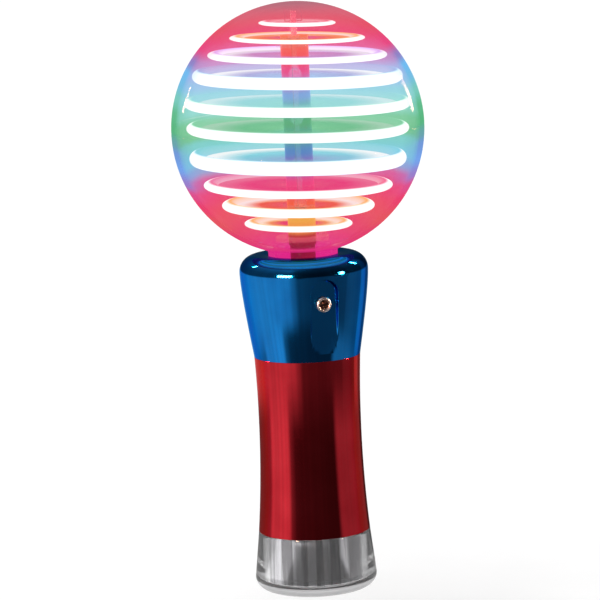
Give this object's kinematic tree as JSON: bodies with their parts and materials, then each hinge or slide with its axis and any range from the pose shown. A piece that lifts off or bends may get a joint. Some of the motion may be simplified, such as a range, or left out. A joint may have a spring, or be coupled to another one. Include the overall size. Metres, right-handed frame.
{
  "type": "toy magic wand",
  "caption": "Battery toy wand with a clear globe in which a motor spins small lamps into rings of light, a blue collar, a red handle and a clear tail cap.",
  "frame": {"origin": "middle of the flat foot of the tail cap", "axes": "+Z along the wand's axis to the globe, -Y toward the collar's screw, +Y toward the push button"},
  "size_m": [0.085, 0.085, 0.2],
  "materials": {
    "clear_globe": "clear moulded styrene",
    "blue_shell": "metallised plastic under a clear blue lacquer",
    "red_shell": "metallised plastic under a clear red lacquer",
    "clear_cap": "clear moulded styrene",
    "silver_liner": "vacuum-metallised silver",
    "steel": "plated steel",
    "motor_steel": "plated pressed steel",
    "magnet": "ferrite",
    "winding": "enamelled copper on a steel core",
    "brass_contact": "pressed brass",
    "white_plastic": "moulded",
    "black_plastic": "moulded",
    "green_board": "coated board",
    "frosted_column": "frosted clear styrene",
    "clear_arm": "clear moulded styrene",
    "cell_wrap": "plain printed wrap over a metal can",
    "lead_jacket": "soft jacket",
    "red_lamp": "clear tinted resin",
    "amber_lamp": "clear tinted resin",
    "violet_lamp": "clear tinted resin",
    "blue_lamp": "clear tinted resin",
    "green_lamp": "clear tinted resin"
  },
  "bodies": {
    "handle": {"globe_upper": "clear_globe", "globe_lower": "clear_globe", "collar": "blue_shell", "collar_screw": "steel", "handle_sleeve": "red_shell", "switch_body": "black_plastic", "switch_board": "green_board", "motor_cradle": "white_plastic", "motor_retainer": "black_plastic", "motor_can": "motor_steel", "motor_end_bell": "white_plastic", "motor_magnets": "magnet", "motor_terminals": "brass_contact", "lower_brush": "brass_contact", "upper_brush": "brass_contact", "cell_frame": "white_plastic", "cell_front_left": "cell_wrap", "cell_front_right": "cell_wrap", "cell_back": "cell_wrap", "top_contacts": "brass_contact", "top_spring": "steel", "return_strip": "brass_contact", "battery_leads": "lead_jacket", "brush_leads": "lead_jacket"},
    "rotor": {"motor_armature": "winding", "motor_shaft": "steel", "rotor_hub": "white_plastic", "lower_slip_ring": "brass_contact", "upper_slip_ring": "brass_contact", "rotor_board": "green_board", "control_chip": "black_plastic", "rotor_column": "frosted_column", "led_frame": "clear_arm", "led_wiring": "brass_contact", "leds_red": "red_lamp", "leds_amber": "amber_lamp", "leds_violet": "violet_lamp", "leds_blue": "blue_lamp", "leds_green": "green_lamp", "top_pivot_pin": "steel"},
    "button": {"button": "blue_shell", "switch_plunger": "white_plastic"},
    "tail_cap": {"tail_cap": "clear_cap", "cap_liner": "silver_liner", "bottom_contacts": "brass_contact", "bottom_springs": "steel"}
  },
  "joints": [
    {"name": "rotor_spin", "type": "hinge", "parent": "handle", "child": "rotor", "pos_m": [0, 0, 0.1575], "axis": [0, 0, 1], "continuous": true},
    {"name": "button_press", "type": "slide", "parent": "handle", "child": "button", "axis": [0, -1, 0], "range_m": [0, 0.001], "stiffness_N_per_m": 1000, "springref_m": -0.001},
    {"name": "tail_cap_pull", "type": "slide", "parent": "handle", "child": "tail_cap", "axis": [0, 0, -1], "range_m": [0, 0.03]}
  ]
}
